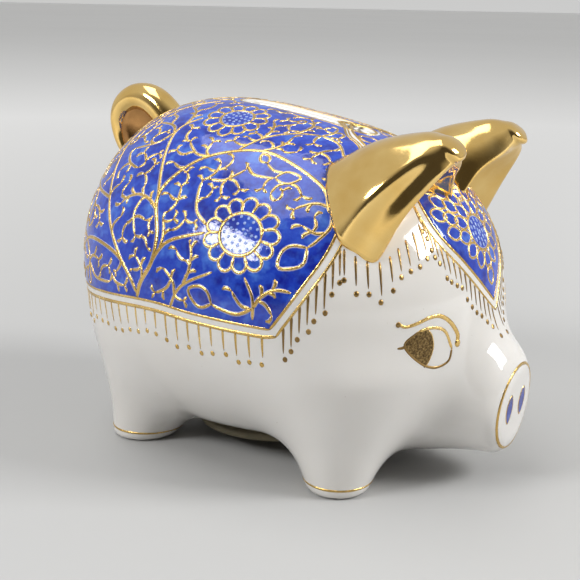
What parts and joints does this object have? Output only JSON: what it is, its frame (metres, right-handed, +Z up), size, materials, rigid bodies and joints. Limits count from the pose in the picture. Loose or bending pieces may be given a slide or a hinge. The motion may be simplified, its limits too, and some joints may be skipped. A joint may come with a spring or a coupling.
{
  "type": "pig money bank",
  "caption": "Free-standing round-bodied pig money bank in glazed porcelain, gilded ears and tail, coin slot on the back, stopper under the belly.",
  "frame": {"origin": "bottom centre of the bounding box, on the surface the soles stand on", "axes": "+X towards the snout, +Y to the pig's left, +Z up"},
  "size_m": [0.1279, 0.0946, 0.0938],
  "materials": {
    "porcelain": "white porcelain under a clear high-gloss glaze",
    "gilding": "porcelain covered with burnished mirror gold",
    "stopper_rubber": "soft olive-brown moulded rubber"
  },
  "bodies": {
    "bank": {"body_shell": "porcelain", "right_ear": "gilding", "left_ear": "gilding", "tail": "gilding"},
    "plug": {"stopper": "stopper_rubber"}
  },
  "joints": [
    {"name": "stopper_pull", "type": "slide", "parent": "bank", "child": "plug", "axis": [0, 0, -1], "range_m": [0, 0.03]}
  ]
}
